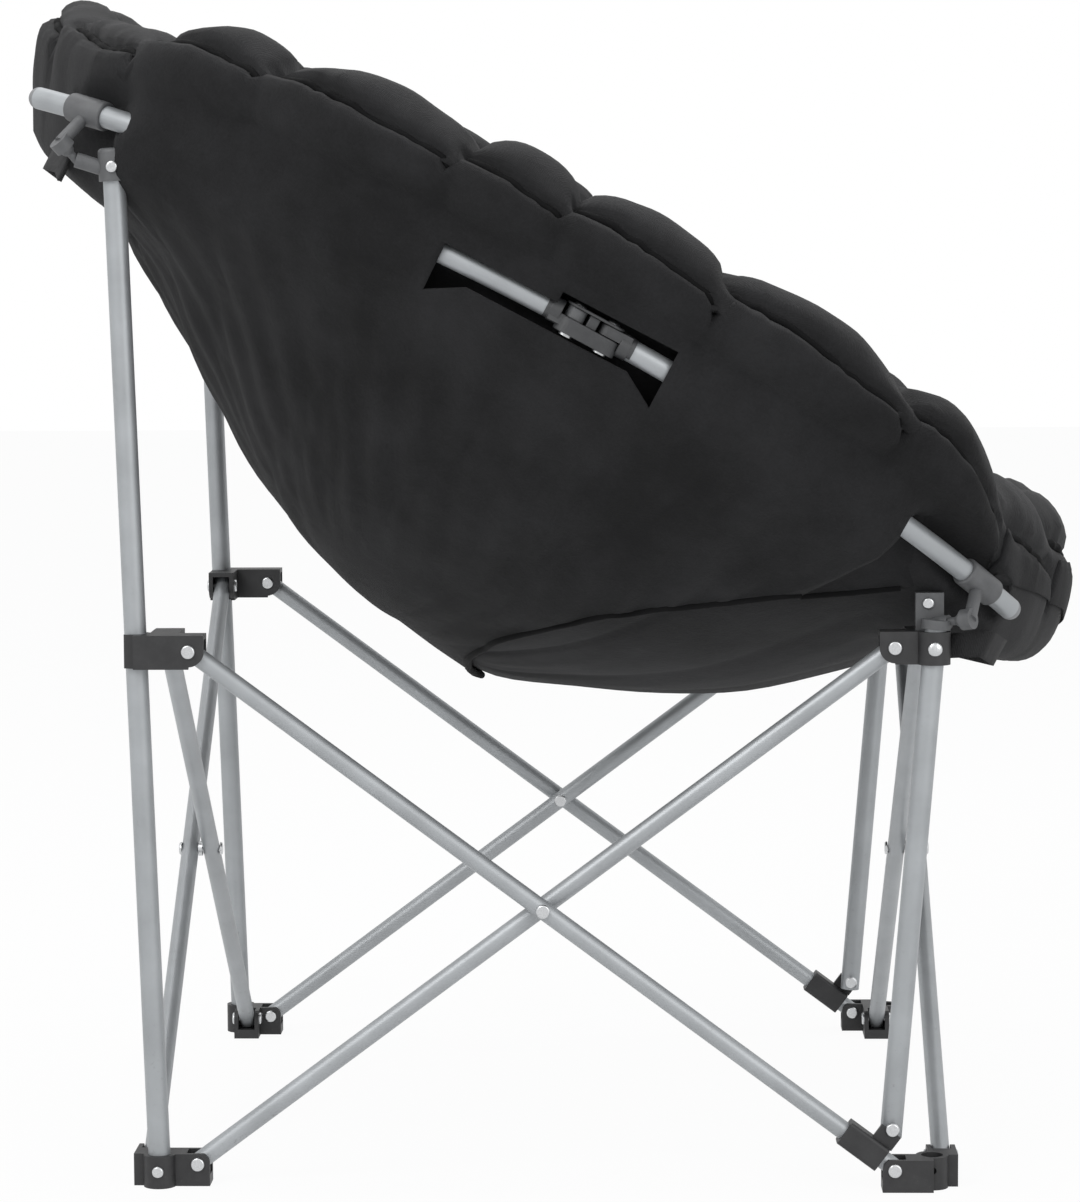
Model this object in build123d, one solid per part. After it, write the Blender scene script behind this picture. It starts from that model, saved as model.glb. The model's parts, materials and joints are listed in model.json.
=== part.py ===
# Folding saucer chair: four-way scissor tube frame, two hinged ring bars a side
# and a padded fabric saucer. Millimetres. +Z is up, the chair faces -Y, X is
# across. f below is the distance forward of the rear feet's side pivots, so
# y = Y_SHIFT - f. The near side is -X.
from build123d import *
import os
import math

# ---- driving dimensions ------------------------------------------------------
SPAN = 600.0            # between foot pivots, both fore-aft and across
PIVOT_Z = 19.0          # foot pivots above the floor
RISE = 447.0            # slider and hub pivots above the foot pivots, chair open
LEG_X = 333.0           # uprights and front legs, from the middle
OFFSET = 33.0           # upright or leg axis to its pivots, fore-aft and across
TUBE_R = 9.5            # 19 mm uprights, front legs and ring bars
CROSS_R = 8.0           # 16 mm scissor tubes
WALL = 1.2              # tube wall
LAYER = 10.0            # each scissor tube off its pair's middle plane
PIN_R = 3.0             # rivet shanks
HOLE_R = 3.3            # rivet holes in the pieces that turn on them
UPRIGHT_LEAN = 1.8      # degrees, rear uprights lean back
LEG_FOOT_F = -1.82      # leg's lower pivot ahead of the front foot pivot
LEG_DROP = 413.22       # leg's lower pivot below the hub pivots
SLEEVE_S = 21.64        # leg's lower pivot along the side tube from its foot pivot
SLEEVE_G = 26.0         # leg's lower pivot above the side tube's axis
UPRIGHT_TOP = 884.0
Y_SHIFT = 304.693        # puts the middle of the box on the origin

RING_F, RING_Z = 285.4, 714.0      # ring centre
RING_SLOPE = 27.97                 # degrees, the ring falls to the front
BAR_HALF = 470.0                   # bar ends along the ring
BAR_MID_X, BAR_TIP_X = 445.0, 281.3
BAR_MID_N = 51.0                   # the bars arch up this much at the middle
ARC_HALF = 476.0
MID_U, MID_GAP = 39.0, 31.0        # mid connector and its two pivots
K_REAR_U, K_FRONT_U = -422.0, 432.0
K_X, K_N = 340.0, -24.0            # corner ball joints
AXIS_REAR = (-0.594, 0.357, 0.720) # forward, outward, up
AXIS_FRONT = (0.826, 0.538, 0.170)

side_angle = math.degrees(math.atan2(RISE, SPAN))
tube_len = math.hypot(SPAN, RISE)
pivot_top = PIVOT_Z + RISE
lean = math.tan(math.radians(UPRIGHT_LEAN))


def P(f, x, z):
    return Vector(x, Y_SHIFT - f, z)


def D(f, x, z):
    return Vector(x, -f, z).normalized()


def rod(a, b, r):
    d = b - a
    return Plane(origin=a, z_dir=d.normalized()) * Cylinder(r, d.length, align=(Align.CENTER, Align.CENTER, Align.MIN))


def block(f0, f1, x0, x1, z0, z1):
    """Box between two forward distances, two x and two heights."""
    return Pos((x0 + x1) / 2, Y_SHIFT - (f0 + f1) / 2, (z0 + z1) / 2) * Box(abs(x1 - x0), abs(f1 - f0), abs(z1 - z0))


def rivet(a, b, r=PIN_R, head=6.0, rise=2.4):
    """Pan-headed rivet with its heads' flats at a and b."""
    d = (b - a).normalized()
    body = rod(a, b, r)
    for p, n in ((a, -d), (b, d)):
        dome = rod(p, p + n * rise, head)
        dome = fillet(dome.edges().filter_by(GeomType.CIRCLE).sort_by(lambda e: (e.center() - p).dot(n))[-1:], 1.6)
        body = body + dome
    return body


def blind_rivet(a, b, r=PIN_R, head=5.0, rise=2.4):
    """Rivet with its one head's flat at a and its shank ending at b."""
    d = (a - b).normalized()
    dome = rod(a, a + d * rise, head)
    dome = fillet(dome.edges().filter_by(GeomType.CIRCLE).sort_by(lambda e: (e.center() - a).dot(d))[-1:], 1.6)
    return rod(b, a, r) + dome


def drilled(shape, holes):
    for a, b, r in holes:
        shape = shape - rod(a, b, r)
    return shape


def solids(items):
    out = []
    for i in items:
        out.extend(i.solids())
    return Compound(children=out) if len(out) > 1 else out[0]


# ---- scissor tubes -----------------------------------------------------------
def scissor_tube(p, q, pivot_axis, centre_hole):
    """Round tube with rounded ends on two end pivots and one in the middle."""
    length = (q - p).length
    body = Pos(length / 2, 0, 0) * Rot(0, 90, 0) * Cylinder(CROSS_R, length + 18)
    outline = Pos(length / 2, 0, -12) * extrude(SlotCenterToCenter(length, 18), 24)
    body = body & outline
    bore = Pos(length / 2, 0, 0) * Rot(0, 90, 0) * Cylinder(CROSS_R - WALL, length + 12)
    body = body - bore
    for x, r in ((0, HOLE_R), (length / 2, centre_hole), (length, HOLE_R)):
        body = body - Pos(x, 0, 0) * Cylinder(r, 30)
    return Plane(origin=p, x_dir=(q - p).normalized(), z_dir=pivot_axis) * body


def crossing_rivet(c, n, own):
    """Rivet and washer where two tubes cross. n points from this tube's layer
    to the other's, own is the sign of the layer that carries it."""
    a = c - n * (LAYER + CROSS_R)
    b = c + n * (LAYER + CROSS_R + 0.3)
    return rivet(a, b) + rod(c - n * 2.0, c + n * 1.7, 7.0)


parts = {}
X_AXIS, Y_AXIS = Vector(1, 0, 0), Vector(0, 1, 0)
SIDES = (("near", -1), ("far", 1))

for name, s in SIDES:
    xa, xb = s * (LEG_X + LAYER), s * (LEG_X - LAYER)
    parts["side_tube_a_" + name] = scissor_tube(P(0, xa, pivot_top), P(SPAN, xa, PIVOT_Z), X_AXIS, PIN_R)
    parts["side_tube_b_" + name] = scissor_tube(P(0, xb, PIVOT_Z), P(SPAN, xb, pivot_top), X_AXIS, HOLE_R)
    parts["side_cross_rivet_" + name] = crossing_rivet(P(SPAN / 2, s * LEG_X, PIVOT_Z + RISE / 2), Vector(-s, 0, 0), 1)

half = SPAN / 2
# rear pair: tube 1 on the rear side, tube 2 on the front side
parts["rear_tube_1"] = scissor_tube(P(-OFFSET - LAYER, -half, PIVOT_Z), P(-OFFSET - LAYER, half, pivot_top), Y_AXIS, PIN_R)
parts["rear_tube_2"] = scissor_tube(P(-OFFSET + LAYER, half, PIVOT_Z), P(-OFFSET + LAYER, -half, pivot_top), Y_AXIS, HOLE_R)
parts["rear_cross_rivet"] = crossing_rivet(P(-OFFSET, 0, PIVOT_Z + RISE / 2), Vector(0, -1, 0), 1)
# front pair: tube 1 on the front side, tube 2 on the rear side
front_f = SPAN + OFFSET
parts["front_tube_1"] = scissor_tube(P(front_f + LAYER, -half, PIVOT_Z), P(front_f + LAYER, half, pivot_top), Y_AXIS, PIN_R)
parts["front_tube_2"] = scissor_tube(P(front_f - LAYER, half, PIVOT_Z), P(front_f - LAYER, -half, pivot_top), Y_AXIS, HOLE_R)
parts["front_cross_rivet"] = crossing_rivet(P(front_f, 0, PIVOT_Z + RISE / 2), Vector(0, 1, 0), 1)


# ---- mouldings that carry two pivots each ------------------------------------
def bracket(s, c, d, plane_x, cross_f, z0, z1, zp, up, socket_r):
    """Corner moulding: a socket round the post at forward distance c, an arm
    towards the side pivot and an arm towards the cross pivot, both slotted."""
    x = s * LEG_X
    px = s * plane_x
    ends = 10.5 if up else 13.0
    body = Pos(x, Y_SHIFT - c, (z0 + z1) / 2) * Cylinder(socket_r, z1 - z0)
    side_f = c + d * OFFSET if abs(c - front_f) < 1 or abs(c + OFFSET) < 1 else 0.0
    # side arm
    body += block(min(c, side_f), max(c, side_f), px - 12.5, px + 12.5, z0, z1)
    nose = Pos(px, Y_SHIFT - side_f, 0) * Rot(0, 90, 0) * Cylinder(ends, 25)
    nose = Pos(0, 0, zp) * nose
    nose += block(side_f, side_f + d * ends, px - 12.5, px + 12.5, z0, zp) if up else block(side_f, side_f + d * ends, px - 12.5, px + 12.5, zp, z1)
    body += nose & block(side_f - 20, side_f + 20, px - 13, px + 13, z0, z1)
    # cross arm
    body += block(cross_f - 12.5, cross_f + 12.5, s * half, x, z0, z1)
    tip = Pos(s * half, Y_SHIFT - cross_f, zp) * Rot(90, 0, 0) * Cylinder(ends, 25)
    tip += block(cross_f - 12.5, cross_f + 12.5, s * (half - ends), s * half, z0, zp) if up else block(cross_f - 12.5, cross_f + 12.5, s * (half - ends), s * half, zp, z1)
    body += tip & block(cross_f - 13, cross_f + 13, s * (half - 20), s * (half + 20), z0, z1)
    # slots for the tube ends
    if up:
        za, zb = zp - 9.8, z1 + 5
    else:
        za, zb = z0 - 5, zp + 9.8
    body -= block(side_f - d * 9.8, side_f + d * 30, px - 8.4, px + 8.4, za, zb)
    body -= block(cross_f - 8.4, cross_f + 8.4, s * (half + 9.8), s * (half - 30), za, zb)
    return body


def bracket_holes(s, side_f, plane_x, cross_f, zp):
    px = s * plane_x
    return [(P(side_f, px - 13, zp), P(side_f, px + 13, zp), PIN_R),
            (P(cross_f - 13, s * half, zp), P(cross_f + 13, s * half, zp), PIN_R)]


def bracket_rivets(s, side_f, plane_x, cross_f, zp):
    px = s * plane_x
    return [rivet(P(side_f, px - 12.5, zp), P(side_f, px + 12.5, zp)),
            rivet(P(cross_f - 12.5, s * half, zp), P(cross_f + 12.5, s * half, zp))]


def upright_f(z):
    return -OFFSET - (z - PIVOT_Z) * lean


leg_top_f = lambda z: front_f + (z - pivot_top) * (OFFSET - LEG_FOOT_F) / LEG_DROP

# ring directions, forward-x-up
sl = math.radians(RING_SLOPE)
RU = (math.cos(sl), 0, -math.sin(sl))
RN = (math.sin(sl), 0, math.cos(sl))
sag = math.hypot(BAR_MID_X - BAR_TIP_X, BAR_MID_N)
arc_r = (ARC_HALF ** 2 + sag ** 2) / (2 * sag)


def ring(s, u, o, n):
    return P(RING_F + u * RU[0] + n * RN[0], s * o, RING_Z + u * RU[2] + n * RN[2])


def bar(s, u, lift=0.0):
    h = math.sqrt(arc_r ** 2 - u * u) - (arc_r - sag)
    return ring(s, u, BAR_TIP_X + h * (BAR_MID_X - BAR_TIP_X) / sag, h * BAR_MID_N / sag + lift)


def bar_dir(s, u):
    return (bar(s, u + 0.5) - bar(s, u - 0.5)).normalized()


def swept(s, u0, u1, r, r_in=0.0):
    path = Edge.make_three_point_arc(bar(s, u0), bar(s, (u0 + u1) / 2), bar(s, u1))
    face = Plane(origin=bar(s, u0), z_dir=bar_dir(s, u0)) * Circle(r)
    out = sweep(face, path=path)
    if r_in:
        face = Plane(origin=bar(s, u0), z_dir=bar_dir(s, u0)) * Circle(r_in)
        out = out - sweep(face, path=path)
    return out


def ball_seat(k, d, ball_r, cup_from):
    cup = rod(k + d * cup_from, k + d * 11.0, 9.0)
    return cup - Pos(*k) * Sphere(ball_r)


n_dir = D(RN[0], 0, RN[2])
u_dir = D(RU[0], 0, RU[2])

for name, s in SIDES:
    rear_cross = -OFFSET - LAYER if s < 0 else -OFFSET + LAYER
    rear_top_cross = -OFFSET + LAYER if s < 0 else -OFFSET - LAYER
    front_cross = front_f + LAYER if s < 0 else front_f - LAYER
    front_top_cross = front_f - LAYER if s < 0 else front_f + LAYER
    inner, outer = LEG_X - LAYER, LEG_X + LAYER
    x = s * LEG_X

    # rear foot, upright and cap
    axis_lo, axis_hi = P(upright_f(5), x, 5), P(upright_f(UPRIGHT_TOP), x, UPRIGHT_TOP)
    foot = bracket(s, -OFFSET, 1, inner, rear_cross, 0, 28, PIVOT_Z, True, 14.0)
    foot = drilled(foot, bracket_holes(s, 0, inner, rear_cross, PIVOT_Z))
    foot -= rod(axis_lo, axis_hi, TUBE_R)
    foot -= rod(P(-OFFSET, x + s * 20, 15), P(-OFFSET, x - s * 8.0, 15), PIN_R)
    parts["rear_foot_" + name] = foot
    up = rod(axis_lo, axis_hi, TUBE_R) - rod(P(upright_f(4), x, 4), P(upright_f(UPRIGHT_TOP - 3), x, UPRIGHT_TOP - 3), TUBE_R - WALL)
    cap_z = 876.0
    up = drilled(up, [(P(-OFFSET, x - 20, 15), P(-OFFSET, x + 20, 15), PIN_R),
                      (P(upright_f(cap_z), x - 20, cap_z), P(upright_f(cap_z), x + 20, cap_z), PIN_R)])
    parts["rear_upright_" + name] = up

    k1 = ring(s, K_REAR_U, K_X, K_N)
    d1 = D(AXIS_REAR[0], s * AXIS_REAR[1], AXIS_REAR[2])
    cap = rod(P(upright_f(864), x, 864), P(upright_f(892), x, 892), 13.0)
    cap = fillet(cap.edges().group_by(Axis.Z)[-1], 4.0)
    cap += rod(P(upright_f(872), x, 872), k1 - d1 * 12.0, 6.5) + rod(k1 - d1 * 16.0, k1, 3.5) + Pos(*k1) * Sphere(6.0)
    cap -= rod(axis_lo, axis_hi, TUBE_R)
    cap -= rod(P(upright_f(cap_z), x - 20, cap_z), P(upright_f(cap_z), x + 20, cap_z), PIN_R)
    parts["rear_cap_" + name] = cap
    parts["rear_rivets_" + name] = solids(
        bracket_rivets(s, 0, inner, rear_cross, PIVOT_Z)
        + [blind_rivet(P(-OFFSET, x + s * 14.0, 15), P(-OFFSET, x - s * 8.0, 15)),
           rivet(P(upright_f(cap_z), x - 13, cap_z), P(upright_f(cap_z), x + 13, cap_z), head=5.0)])

    # slider on the upright: a channel, open to the rear
    cs = upright_f(pivot_top)
    z0, z1 = pivot_top - 15, pivot_top + 14
    slider = bracket(s, cs, 1, outer, rear_top_cross, z0, z1, pivot_top, False, 13.5)
    slider = drilled(slider, bracket_holes(s, 0, outer, rear_top_cross, pivot_top))
    lean_axis = (P(upright_f(z0 - 10), x, z0 - 10), P(upright_f(z1 + 10), x, z1 + 10))
    slider -= rod(lean_axis[0], lean_axis[1], TUBE_R + 0.4)
    slider -= block(cs - 30, cs, x - TUBE_R - 0.4, x + TUBE_R + 0.4, z0 - 5, z1 + 5)
    slider &= block(-60.5, 40, x - 60, x + 60, z0 - 1, z1 + 1)
    parts["slider_" + name] = slider
    parts["slider_rivets_" + name] = solids(bracket_rivets(s, 0, outer, rear_top_cross, pivot_top))

    # front foot, with an empty socket of the same moulding
    foot = bracket(s, front_f, -1, outer, front_cross, 0, 28, PIVOT_Z, True, 14.0)
    foot = drilled(foot, bracket_holes(s, SPAN, outer, front_cross, PIVOT_Z))
    foot -= rod(P(front_f, x, 5), P(front_f, x, 40), TUBE_R)
    foot -= rod(P(front_f, x + s * 20, 17), P(front_f, x, 17), PIN_R)
    parts["front_foot_" + name] = foot
    parts["front_foot_rivets_" + name] = solids(bracket_rivets(s, SPAN, outer, front_cross, PIVOT_Z))

    # front leg: from its lower pivot up through the hub
    q = P(SPAN + LEG_FOOT_F, x, pivot_top - LEG_DROP)
    top = P(leg_top_f(486), x, 486)
    axis = (top - q).normalized()
    leg = rod(q - axis * 9.0, top, TUBE_R) - rod(q + axis * 12.0, top - axis * 3.0, TUBE_R - WALL)
    leg -= rod(q - X_AXIS * 20, q + X_AXIS * 20, PIN_R)
    hub_z0, hub_z1 = 452.0, 480.0
    hub = bracket(s, front_f, -1, inner, front_top_cross, hub_z0, hub_z1, pivot_top, False, 14.0)
    hub = drilled(hub, bracket_holes(s, SPAN, inner, front_top_cross, pivot_top))
    hub -= rod(q, top + axis * 20, TUBE_R)
    hub -= rod(P(leg_top_f(pivot_top), x - 20, pivot_top), P(leg_top_f(pivot_top), x + 20, pivot_top), PIN_R)
    leg -= rod(P(leg_top_f(pivot_top), x - 20, pivot_top), P(leg_top_f(pivot_top), x + 20, pivot_top), PIN_R)
    parts["front_leg_" + name] = leg
    parts["front_hub_" + name] = hub

    # grey plate at the leg's top, with a hook to the ring's front corner
    k2 = ring(s, K_FRONT_U, K_X, K_N)
    d2 = D(AXIS_FRONT[0], s * AXIS_FRONT[1], AXIS_FRONT[2])
    hook_base = k2 - d2 * 26.0
    plate = rod(P(leg_top_f(482), x, 482), P(leg_top_f(490), x, 490), 12.5)
    plate += block(618, 642, s * (LEG_X - 19), s * (LEG_X - 9), 480, 512)
    plate -= block(560, 700, s * (LEG_X - 60), s * (LEG_X + 60), 440, 480)
    plate += rod(hook_base, k2 - d2 * 12.0, 6.0) + rod(k2 - d2 * 14.0, k2, 3.5) + Pos(*k2) * Sphere(6.0)
    plate -= rod(q, top, TUBE_R)
    plate -= rod(P(628.7, s * (LEG_X - 25), 503), P(628.7, s * (LEG_X - 5), 503), PIN_R)
    parts["front_cap_" + name] = plate
    parts["front_leg_rivets_" + name] = solids(
        bracket_rivets(s, SPAN, inner, front_top_cross, pivot_top)
        + [rivet(q - X_AXIS * 15.0, q + X_AXIS * 15.0, head=6.0),
           rivet(P(628.7, s * (LEG_X - 19), 503), P(628.7, s * (LEG_X - 9), 503), head=5.0)])

    # sleeve that slides on the side tube under the leg
    dirn = D(-SPAN, 0, RISE)
    up_n = D(RISE, 0, SPAN)
    foot_p = P(SPAN, s * outer, PIVOT_Z)
    frame = Plane(origin=foot_p, x_dir=dirn, z_dir=up_n)
    yy = 1 if (frame.y_dir.X * s) > 0 else -1
    box = Pos(SLEEVE_S + 12, 0, 0) * Box(40, 22.4, 22.4)
    box = fillet(box.edges().filter_by(Axis.X), 3.0)
    ear_o = Pos(SLEEVE_S, yy * (0.2 + 2.2), 17.5) * Box(20, 4.4, 14)
    body = box + ear_o
    body -= Pos(SLEEVE_S, 0, 0) * Rot(0, 90, 0) * Cylinder(CROSS_R + 0.3, 120)
    body -= Pos(SLEEVE_S, 0, SLEEVE_G) * Rot(90, 0, 0) * Cylinder(PIN_R + 0.4, 80)
    parts["leg_sleeve_" + name] = frame * body

    # ring bars, tips, corner connectors and mid connector
    ub = MID_U - MID_GAP / 2
    uf = MID_U + MID_GAP / 2
    for end, u0, u1, piv, kk, dd in (("rear", -BAR_HALF, ub - 20, ub, k1, d1), ("front", uf + 20, BAR_HALF, uf, k2, d2)):
        tube = swept(s, u0, u1, TUBE_R, TUBE_R - WALL)
        parts["ring_bar_%s_%s" % (end, name)] = tube
        out = -1 if end == "rear" else 1
        ut = out * BAR_HALF
        t = bar_dir(s, ut) * out
        e = bar(s, ut)
        tip = (Pos(*e) * Sphere(TUBE_R)) & rod(e, e + t * 20, 15)
        tip += rod(e - t * 9, e + t * 1, TUBE_R - WALL - 0.3)
        parts["ring_tip_%s_%s" % (end, name)] = tip
        uk = K_REAR_U if end == "rear" else K_FRONT_U
        b0 = bar(s, uk)
        tt = bar_dir(s, uk)
        con = rod(b0 - tt * 20, b0 + tt * 20, 12.5)
        con = fillet(con.edges().filter_by(GeomType.CIRCLE), 2.0)
        con += rod(b0, kk + dd * 8.0, 5.5) + rod(kk + dd * 1.0, kk + dd * 11.0, 9.0)
        con -= Pos(*kk) * Sphere(6.4)
        con -= swept(s, uk - 45, uk + 45, TUBE_R)
        parts["ring_corner_%s_%s" % (end, name)] = con
        # flattened end for the mid pivot: rear one low, front one high
        m = bar(s, piv)
        tm = (bar(s, uf) - bar(s, ub)).normalized()
        sgn = 1 if end == "rear" else -1
        low = end == "rear"
        pl = Plane(origin=m, x_dir=tm * (-sgn), z_dir=n_dir)
        tang = Pos(10, 0, 0) * Box(20, 17, 18) + Cylinder(8.5, 18)
        keep = Pos(0, 0, -5.0) * Box(80, 40, 9.4) if low else Pos(0, 0, 4.9) * Box(80, 40, 9.2)
        tang = tang & keep
        plug = Pos(22, 0, 0) * Rot(0, 90, 0) * Cylinder(TUBE_R, 5.0)
        parts["ring_end_%s_%s" % (end, name)] = (pl * (tang + (Pos(0, 0, 0) * plug))) - swept(s, u0, u1, TUBE_R)
    m1, m2 = bar(s, ub), bar(s, uf)
    tm = (m2 - m1).normalized()
    pl = Plane(origin=(m1 + m2) / 2, x_dir=tm, z_dir=n_dir)
    plate = Pos(0, 0, -13.3) * extrude(SlotCenterToCenter(MID_GAP, 24), 4.0)
    parts["ring_mid_" + name] = pl * plate
    parts["ring_mid_rivets_" + name] = solids([pl * Pos(-MID_GAP / 2, 0, 0) * (Pos(0, 0, -14.4) * Cylinder(6.0, 2.2) + Pos(0, 0, -8.0) * Cylinder(PIN_R, 12.0)),
                                                pl * Pos(MID_GAP / 2, 0, -14.4) * Cylinder(6.0, 2.2)])
    parts["ring_mid_" + name] -= pl * Pos(-MID_GAP / 2, 0, -8.0) * Cylinder(PIN_R, 30.0)
    parts["ring_end_rear_" + name] -= pl * Pos(-MID_GAP / 2, 0, -8.0) * Cylinder(PIN_R + 0.3, 30.0)

# ---- fabric ------------------------------------------------------------------
def largest(shape):
    return max(shape.solids(), key=lambda p: p.volume)


# half section, radius and height: drawn-in outside, puffed rim, padded lining
section = [(0, -262), (90, -254), (180, -228), (262, -188), (334, -134), (392, -72), (434, -8), (460, 30),
           (478, 56), (484, 72), (478, 86), (462, 92), (440, 90), (420, 76), (402, 46), (376, 6), (330, -46),
           (268, -100), (196, -146), (110, -182), (40, -195), (0, -196)]
profile = make_face(Polyline(*[(r, 0, n) for r, n in section], close=True))
saucer = revolve(profile, Axis.Z, 360)
ring_plane = Plane(origin=P(RING_F, 0, RING_Z), x_dir=u_dir, z_dir=n_dir)
saucer = ring_plane * saucer
SLEEVES = ((-385.0, -75.0), (115.0, 385.0))     # fabric sleeves along the bars
pockets = []
for name, s in SIDES:
    saucer = largest(saucer - swept(s, -460, 460, TUBE_R + 1.2))
    for u0, u1 in SLEEVES:
        pocket = swept(s, u0, u1, 16.0, TUBE_R + 1.0) - saucer
        pockets.append(largest(pocket))
    # the hinge in the middle of each side shows through a cut-out
    saucer = largest(saucer - Plane(origin=bar(s, MID_U), x_dir=u_dir, z_dir=n_dir) * Pos(0, 0, -10) * Box(140, 60, 60))
parts["seat_cushion"] = saucer
parts["seat_sleeves"] = solids(pockets)

if __name__ == "__main__":
    os.makedirs("parts", exist_ok=True)
    for node, shape in parts.items():
        export_step(shape, "parts/%s.step" % node)
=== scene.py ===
import json
import math

import bmesh
import bpy
from mathutils import Matrix, Quaternion, Vector

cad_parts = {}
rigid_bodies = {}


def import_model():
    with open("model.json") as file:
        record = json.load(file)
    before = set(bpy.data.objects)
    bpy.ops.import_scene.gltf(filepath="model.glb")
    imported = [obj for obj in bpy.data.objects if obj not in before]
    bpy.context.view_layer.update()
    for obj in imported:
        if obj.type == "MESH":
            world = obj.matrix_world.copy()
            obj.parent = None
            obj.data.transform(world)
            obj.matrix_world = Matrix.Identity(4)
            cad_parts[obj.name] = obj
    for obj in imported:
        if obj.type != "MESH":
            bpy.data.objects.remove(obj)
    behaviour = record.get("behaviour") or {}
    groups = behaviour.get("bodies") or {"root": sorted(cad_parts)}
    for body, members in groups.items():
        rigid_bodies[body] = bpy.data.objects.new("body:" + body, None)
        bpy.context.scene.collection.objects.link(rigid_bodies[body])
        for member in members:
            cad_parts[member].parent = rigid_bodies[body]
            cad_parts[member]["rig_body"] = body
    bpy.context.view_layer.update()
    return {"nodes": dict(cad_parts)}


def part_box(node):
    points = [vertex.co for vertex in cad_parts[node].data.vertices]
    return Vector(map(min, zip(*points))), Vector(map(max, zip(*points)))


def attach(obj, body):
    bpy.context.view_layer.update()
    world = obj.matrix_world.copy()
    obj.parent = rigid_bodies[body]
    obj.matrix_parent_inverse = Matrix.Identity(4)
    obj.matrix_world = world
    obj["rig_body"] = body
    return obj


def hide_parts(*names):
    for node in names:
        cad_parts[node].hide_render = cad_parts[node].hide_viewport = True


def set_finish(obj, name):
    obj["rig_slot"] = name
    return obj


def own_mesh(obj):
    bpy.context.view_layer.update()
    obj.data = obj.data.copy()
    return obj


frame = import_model()
nodes = frame["nodes"]

# ---- Silver tubes -------------------------------------------------------------
# Uprights, front legs and the two bent ring bars are 19 mm steel tube, the three
# crossing pairs 16 mm. All are drawn tube with a silver satin powder coat, pierced
# for rivets; the coat is fine-grained, a little cloudy, and rubbed near the floor.


class Wire:
    """A material's value on its way; Python's operators add the sums."""

    def __init__(self, finish, socket):
        self.finish, self.socket = finish, socket

    def sum(self, operation, *others):
        return self.finish.add("Math", {"operation": operation}, dict(enumerate((self,) + others)))

    def __add__(self, other):
        return self.sum("ADD", other)

    def __sub__(self, other):
        return self.sum("SUBTRACT", other)

    def __rsub__(self, other):
        return self.sum("MULTIPLY_ADD", -1.0, other)

    def __mul__(self, other):
        return self.sum("MULTIPLY", other)

    __radd__, __rmul__ = __add__, __mul__


class Finish:
    """One material being mixed on a Principled shader."""

    def __init__(self, name):
        self.material = bpy.data.materials.new(name)
        self.material.use_nodes = True
        self.material.node_tree.nodes.clear()

    def add(self, kind, settings=None, values=None, out=0):
        made = self.material.node_tree.nodes.new("ShaderNode" + kind)
        for key, value in (settings or {}).items():
            if key == "stops":
                for stop, (at, shade) in zip(made.color_ramp.elements, value):
                    stop.position, stop.color = at, (*shade, 1)
            else:
                setattr(made, key, value)
        for key, value in (values or {}).items():
            if isinstance(value, Wire):
                self.material.node_tree.links.new(value.socket, made.inputs[key])
            else:
                made.inputs[key].default_value = value
        return Wire(self, made.outputs[out]) if made.outputs else None

    def place(self):
        return self.add("TexCoord", out=3)

    def cloud(self, scale, detail=3.0, at=None, rough=0.5):
        values = {"Vector": at or self.place(), "Scale": scale, "Detail": detail,
                  "Roughness": rough}
        return self.add("TexNoise", None, values)

    def ramp(self, value, *stops):
        return self.add("ValToRGB", {"stops": stops}, {"Fac": value})

    def range(self, value, low, high, to_low, to_high):
        values = {"Value": value, "From Min": low, "From Max": high,
                  "To Min": to_low, "To Max": to_high}
        return self.add("MapRange", None, values)

    def mix(self, share, first, second):
        values = {"Factor": share, 6: first, 7: second}
        return self.add("Mix", {"data_type": "RGBA"}, values, out=2)

    def bump(self, height, depth, strength=1.0):
        return self.add("Bump", None, {"Height": height, "Distance": depth, "Strength": strength})

    def done(self, **values):
        values = {key.replace("_", " "): value for key, value in values.items()}
        shader = self.add("BsdfPrincipled", None, values)
        self.add("OutputMaterial", None, {"Surface": shader})
        return self.material


def give(material, *starts):
    """Puts the material on the CAD nodes whose names start so."""
    for name, node in nodes.items():
        if name.startswith(starts):
            node.data.materials.clear()
            node.data.materials.append(material)


def colour(*rgb):
    return (*rgb, 1.0)


def silver_coat(name, shade):
    coat = Finish(name)
    height = coat.add("SeparateXYZ", None, {"Vector": coat.place()}, out=2)
    grain = coat.cloud(420.0, 2.0)
    haze = coat.cloud(22.0, 4.0)
    rubs = coat.range(coat.cloud(160.0, 5.0, rough=0.7), 0.60, 0.72, 0.0, 1.0)
    low = coat.range(height, 0.0, 0.22, 0.55, 0.12)
    worn = rubs * low
    base = coat.ramp(haze, (0.3, [c * 0.90 for c in shade]), (0.7, [c * 1.08 for c in shade]))
    base = coat.mix(worn, base, colour(0.20, 0.20, 0.195))
    return coat.done(
        Base_Color=base, Metallic=0.50, Roughness=0.43 + haze * 0.10 - grain * 0.05,
        Normal=coat.bump(grain, 0.00002, 0.2))


give(silver_coat("silver_upright_coat", (0.372, 0.388, 0.400)),
     "rear_upright", "front_leg_n", "front_leg_f", "ring_bar")
give(silver_coat("silver_scissor_coat", (0.380, 0.396, 0.408)),
     "side_tube", "rear_tube", "front_tube")

# ---- Black brackets -----------------------------------------------------------
# Feet, sliders, front hubs and the leg sleeves are moulded black nylon. The skin is
# finely spark-eroded, greyed by dust in the corners and scuffed pale where it
# touches the ground.


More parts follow.
